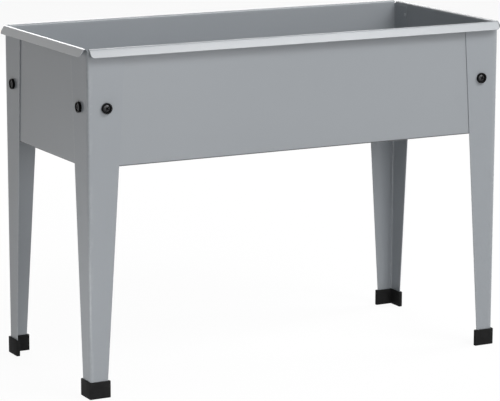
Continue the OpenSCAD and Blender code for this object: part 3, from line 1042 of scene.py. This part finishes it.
def coat(name, color, worn, values):
    """A finish: drifting colour, worn edges with painted shade and a painted highlight, and dust over a
    textured skin.
    """
    material = bpy.data.materials.new(name)
    material.use_nodes = True
    tree = material.node_tree
    shader = tree.nodes["Principled BSDF"]

    def placed(key, inputs):
        return node(tree, "ShaderNodeGroup", inputs, node_tree=GROUPS[key]).outputs

    tone = placed("tone", {"Color": (*color, 1), "Amount": values["drift"], "Patch": values["patch"]})
    # Wear, with painted shade where the value is below zero and a painted highlight on a leg's bend
    rubbed = placed("rub", {"Color": tone["Color"], "Worn": (*worn, 1), "Amount": values["wear"]})
    dusty = placed("dust", {"Color": rubbed["Color"], "Amount": values["dust"]})
    sockets = {"Grain": "grain", "Depth": "depth", "Roughness": "rough", "Drift": "rough_drift"}
    skin = placed("skin", {socket: values[key] for socket, key in sockets.items()})
    tree.links.new(dusty["Color"], shader.inputs["Base Color"])
    tree.links.new(skin["Roughness"], shader.inputs["Roughness"])
    tree.links.new(skin["Normal"], shader.inputs["Normal"])
    shader.inputs["Metallic"].default_value = values.get("metal", 0.0)
    shader.inputs["Specular IOR Level"].default_value = values.get("specular", 0.5)
    return material


SHEET_COLOR = (0.345, 0.366, 0.389)
LEG_COLOR = (0.338, 0.360, 0.385)
WORN_PAINT = (0.62, 0.64, 0.66)
PAINT = dict(
    drift=0.012, patch=0.4, wear=0.25, dust=0.06, grain=0.0011, depth=0.00002, rough=0.24, rough_drift=0.01
)
PLASTIC = dict(
    drift=0.12, patch=0.02, wear=0.4, dust=0.02, grain=0.0006, depth=0.00003, rough=0.55, rough_drift=0.08
)
ZINC = dict(
    drift=0.1, patch=0.008, wear=0.5, dust=0.05, grain=0.0005, depth=0.00001, rough=0.36, rough_drift=0.08
)
# The black on the fasteners is a metal of a dark colour, which keeps its reflections dim
BLACK = dict(drift=0.15, patch=0.01, dust=0.01, grain=0.0004, depth=0.00001, metal=1.0)
BOLT = dict(BLACK, wear=0.35, rough=0.3, rough_drift=0.06)
WASHER = dict(BLACK, wear=0.9, rough=0.45, rough_drift=0.07)
FINISH = {
    "panel_paint": coat("panel paint", SHEET_COLOR, WORN_PAINT, PAINT),
    "leg_paint": coat("leg paint", LEG_COLOR, WORN_PAINT, PAINT),
    "floor_paint": coat("floor paint", SHEET_COLOR, WORN_PAINT, dict(PAINT, dust=0.15)),
    "cap_plastic": coat(
        "cap plastic", (0.02, 0.02, 0.0203), (0.03, 0.03, 0.03), dict(PLASTIC, specular=0.03)
    ),
    "bolt_black": coat("bolt black", (0.05, 0.05, 0.052), (0.14, 0.14, 0.145), BOLT),
    "washer_black": coat("washer black", (0.004, 0.004, 0.0042), (0.045, 0.045, 0.047), WASHER),
    "zinc_plate": coat("zinc plate", (0.62, 0.62, 0.63), (0.8, 0.8, 0.8), dict(ZINC, metal=1.0)),
}


# ---------------------------------------------------------------- the planter


panels()
clinches()
floor_and_braces()
legs_and_caps()
fasteners()


# ---------------------------------------------------------------- stage, lamps and camera


FLOOR_SIZE = 60.0
# Grey of the floor where it passes light on, and share of plain white in what the floor shows
FLOOR_TONE = 0.45
FLOOR_WHITE = 0.94
WHITE = (1, 1, 1, 1)
SENSOR_W = 36.0
VIEW_END = 200.0


def shown(tree):
    """One where the camera, a reflection or a clear surface looks, and nothing where light is gathered."""
    path = node(tree, "ShaderNodeLightPath").outputs
    seen = calc(tree, "MAXIMUM", path["Is Camera Ray"], path["Is Glossy Ray"])
    return calc(tree, "MAXIMUM", seen, path["Is Transmission Ray"])


def stage_floor():
    """A wide pale floor that reads as white past the object and keeps its soft shadow."""
    bpy.ops.mesh.primitive_plane_add(size=FLOOR_SIZE)
    floor = bpy.context.object
    floor.name = "studio_floor"
    material = bpy.data.materials.new("studio floor")
    material.use_nodes = True
    tree = material.node_tree
    shader = tree.nodes["Principled BSDF"]
    seen = node(tree, "ShaderNodeLightPath").outputs["Is Camera Ray"]
    pale = blended(tree, seen, (FLOOR_TONE, FLOOR_TONE, FLOOR_TONE, 1), WHITE)
    tree.links.new(pale, shader.inputs["Base Color"])
    shader.inputs["Roughness"].default_value = 0.9
    shader.inputs["Specular IOR Level"].default_value = 0.1
    white = node(tree, "ShaderNodeEmission", {"Color": WHITE, "Strength": 1.0})
    part = calc(tree, "MULTIPLY", shown(tree), FLOOR_WHITE)
    mix = node(tree, "ShaderNodeMixShader", {0: part, 1: shader.outputs[0], 2: white.outputs[0]})
    tree.links.new(mix.outputs[0], tree.nodes["Material Output"].inputs["Surface"])
    floor.data.materials.append(material)


def world_light(strength):
    """Soft light from all round at a plain strength, seen as white by the camera and in reflections."""
    world = bpy.data.worlds.new("studio")
    bpy.context.scene.world = world
    world.use_nodes = True
    tree = world.node_tree
    faint = set_inputs(tree, tree.nodes["Background"], {"Color": WHITE, "Strength": strength})
    white = node(tree, "ShaderNodeBackground", {"Color": WHITE, "Strength": 1.0})
    mix = node(tree, "ShaderNodeMixShader", {0: shown(tree), 1: faint.outputs[0], 2: white.outputs[0]})
    tree.links.new(mix.outputs[0], tree.nodes["World Output"].inputs["Surface"])


def lamp(name, place, aim, size, power):
    """A rectangular soft lamp at place, turned to face aim."""
    light = bpy.data.lights.new(name, "AREA")
    light.shape = "RECTANGLE"
    light.size, light.size_y = size
    light.energy = power
    holder = bpy.data.objects.new(name, light)
    holder.visible_camera = False
    bpy.context.scene.collection.objects.link(holder)
    place, aim = np.array(place, float), np.array(aim, float)
    back = (place - aim) / np.linalg.norm(place - aim)
    side = np.cross([0, 0, 1], back)
    side /= np.linalg.norm(side)
    turn = np.stack([side, np.cross(back, side), back], 1)
    holder.matrix_world = Matrix.Translation(place.tolist()) @ Matrix(turn.tolist()).to_4x4()


def camera(place, yaw, pitch, roll, focal):
    """A camera at place: yaw turns from +Y towards +X, pitch looks down, roll tips the frame."""
    data = bpy.data.cameras.new("camera")
    data.sensor_width = SENSOR_W
    data.lens = focal
    data.clip_end = VIEW_END
    holder = bpy.data.objects.new("camera", data)
    bpy.context.scene.collection.objects.link(holder)
    ahead = np.array([math.sin(yaw) * math.cos(pitch), math.cos(yaw) * math.cos(pitch), -math.sin(pitch)])
    right = np.array([math.cos(yaw), -math.sin(yaw), 0.0])
    up = np.cross(right, ahead)
    tipped = right * math.cos(roll) + up * math.sin(roll)
    upright = up * math.cos(roll) - right * math.sin(roll)
    turn = np.stack([tipped, upright, -ahead], 1)
    holder.matrix_world = Matrix.Translation(place) @ Matrix(turn.tolist()).to_4x4()
    bpy.context.scene.camera = holder


stage_floor()
world_light(0.04)
lamp("high front right", (1.7, -2.8, 4.1), (0, 0, 0.7), (2.4, 1.0), 38.0)
lamp("broad front right", (2.6, -3.0, 3.6), (0, 0, 0.4), (2.4, 2.0), 54.0)
lamp("broad front", (0.8, -3.2, 3.8), (0, 0, 0.4), (2.4, 2.0), 53.0)
lamp("front left", (-1.6, -4.4, 2.2), (0, 0, 0.5), (2.0, 1.4), 26.0)
lamp("low front", (0.8, -4.6, 1.0), (0, 0, 0.4), (2.0, 1.4), 31.0)
lamp("behind left", (-2.0, 4.5, 2.3), (-0.5, 0, 0.78), (1.6, 1.0), 4.7)
lamp("high behind", (0.5, 4.4, 3.4), (0, 0, 0.4), (3.0, 2.0), 75.0)
lamp("behind right", (1.8, 4.6, 1.8), (0, 0, 0.5), (2.4, 1.2), 50.0)
lamp("high right", (4.2, 0, 3.0), (0, 0, 0.4), (2.0, 2.0), 115.0)
lamp("ground left", (-1.1, -0.5, 0.06), (-0.5, -0.25, 0.1), (0.8, 0.2), 2.5)
camera(place=(-2.7194, -5.1001, 1.5347), yaw=0.4887, pitch=0.2, roll=0.0019, focal=177.6)

scene = bpy.context.scene
scene.view_settings.view_transform = "Standard"
